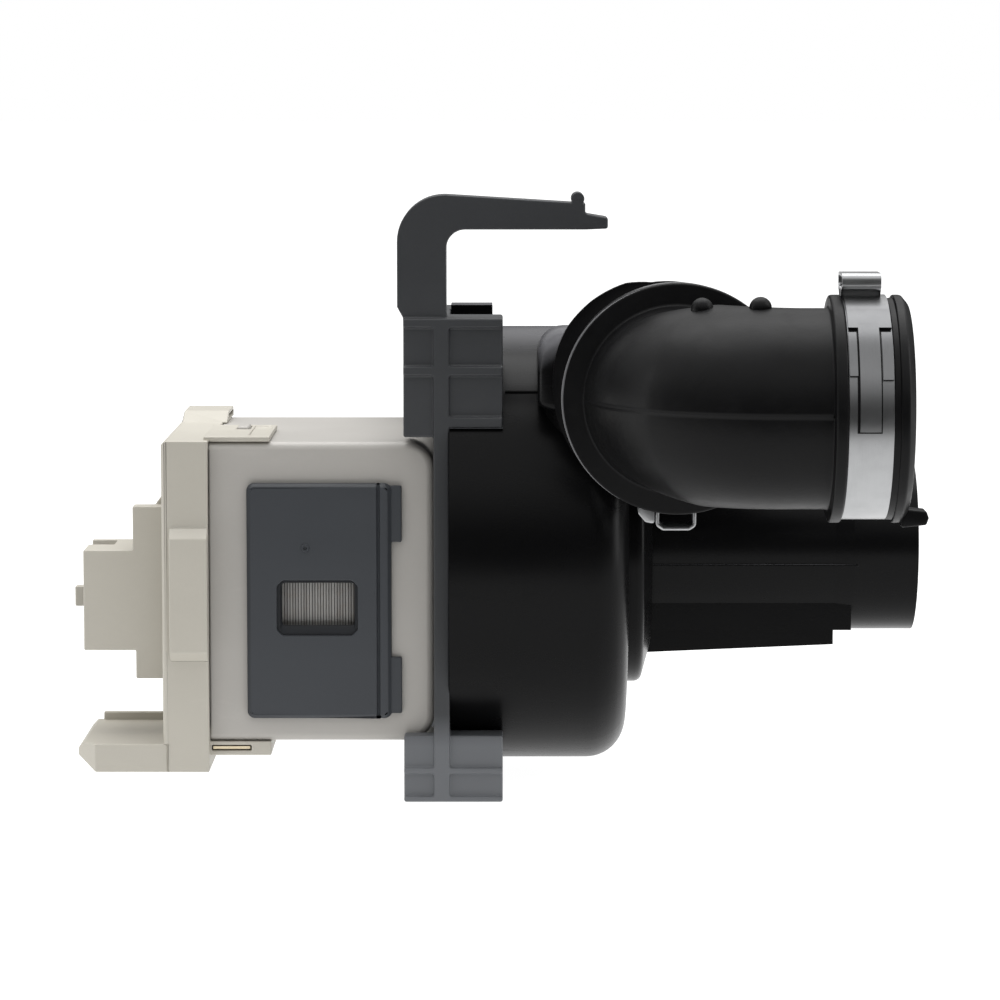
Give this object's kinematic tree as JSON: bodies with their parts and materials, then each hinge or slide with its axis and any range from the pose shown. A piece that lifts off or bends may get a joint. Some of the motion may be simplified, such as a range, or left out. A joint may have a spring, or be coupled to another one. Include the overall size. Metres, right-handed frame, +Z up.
{
  "type": "dishwasher pump motor",
  "caption": "Wet-rotor dishwasher wash pump: cased motor, bracket with hook arm, volute drum with suction pipe, and a clamped rubber outlet elbow.",
  "frame": {"origin": "centre of the suction pipe's mouth, on the shaft axis", "axes": "+X along the shaft and out of the suction mouth, +Z up as in the picture, -Y towards the picture's camera"},
  "size_m": [0.1853, 0.1575, 0.1307],
  "materials": {
    "black_plastic": "smooth moulded, half gloss",
    "black_rubber": "moulded rubber, soft sheen",
    "seal_rubber": "smooth",
    "clamp_steel": "bright strip",
    "screw_steel": "plated",
    "slate_plastic": "satin glass-filled",
    "offwhite_plastic": "satin",
    "cream_plastic": "satin",
    "core_steel": "stacked sheet edges",
    "bobbin_plastic": "satin",
    "copper_winding": "enamelled wire",
    "tinned_contact": "tinned",
    "brass_contact": "stamped strip",
    "can_steel": "drawn",
    "bearing_carbon": "ground carbon",
    "shaft_steel": "ground",
    "magnet_ferrite": "sintered",
    "impeller_plastic": "glass-filled"
  },
  "bodies": {
    "root": {"pump_housing": "black_plastic", "rear_cover": "black_plastic", "cover_seal_ring": "seal_rubber", "outlet_elbow": "black_rubber", "elbow_port_clamp": "clamp_steel", "elbow_end_clamp": "clamp_steel", "mounting_bracket": "slate_plastic", "bracket_screws": "screw_steel", "stator_case": "offwhite_plastic", "stator_core": "core_steel", "coil_bobbin": "bobbin_plastic", "stator_coil": "copper_winding", "core_cover_front": "slate_plastic", "core_cover_rear": "slate_plastic", "motor_end_cap": "cream_plastic", "connector_terminals": "tinned_contact", "strap_contact": "brass_contact", "rotor_can": "can_steel", "front_bearing_holder": "impeller_plastic", "front_bearing": "bearing_carbon", "rear_bearing_holder": "seal_rubber", "rear_bearing": "bearing_carbon", "wear_ring": "impeller_plastic"},
    "rotor": {"shaft": "shaft_steel", "rotor_core": "core_steel", "rotor_magnet": "magnet_ferrite", "rotor_sleeve": "can_steel", "thrust_washers": "bearing_carbon", "impeller": "impeller_plastic", "impeller_shroud": "impeller_plastic", "impeller_nut": "screw_steel"}
  },
  "joints": [
    {"name": "rotor_spin", "type": "hinge", "parent": "root", "child": "rotor", "pos_m": [0, 0, 0], "axis": [1, 0, 0], "continuous": true}
  ]
}
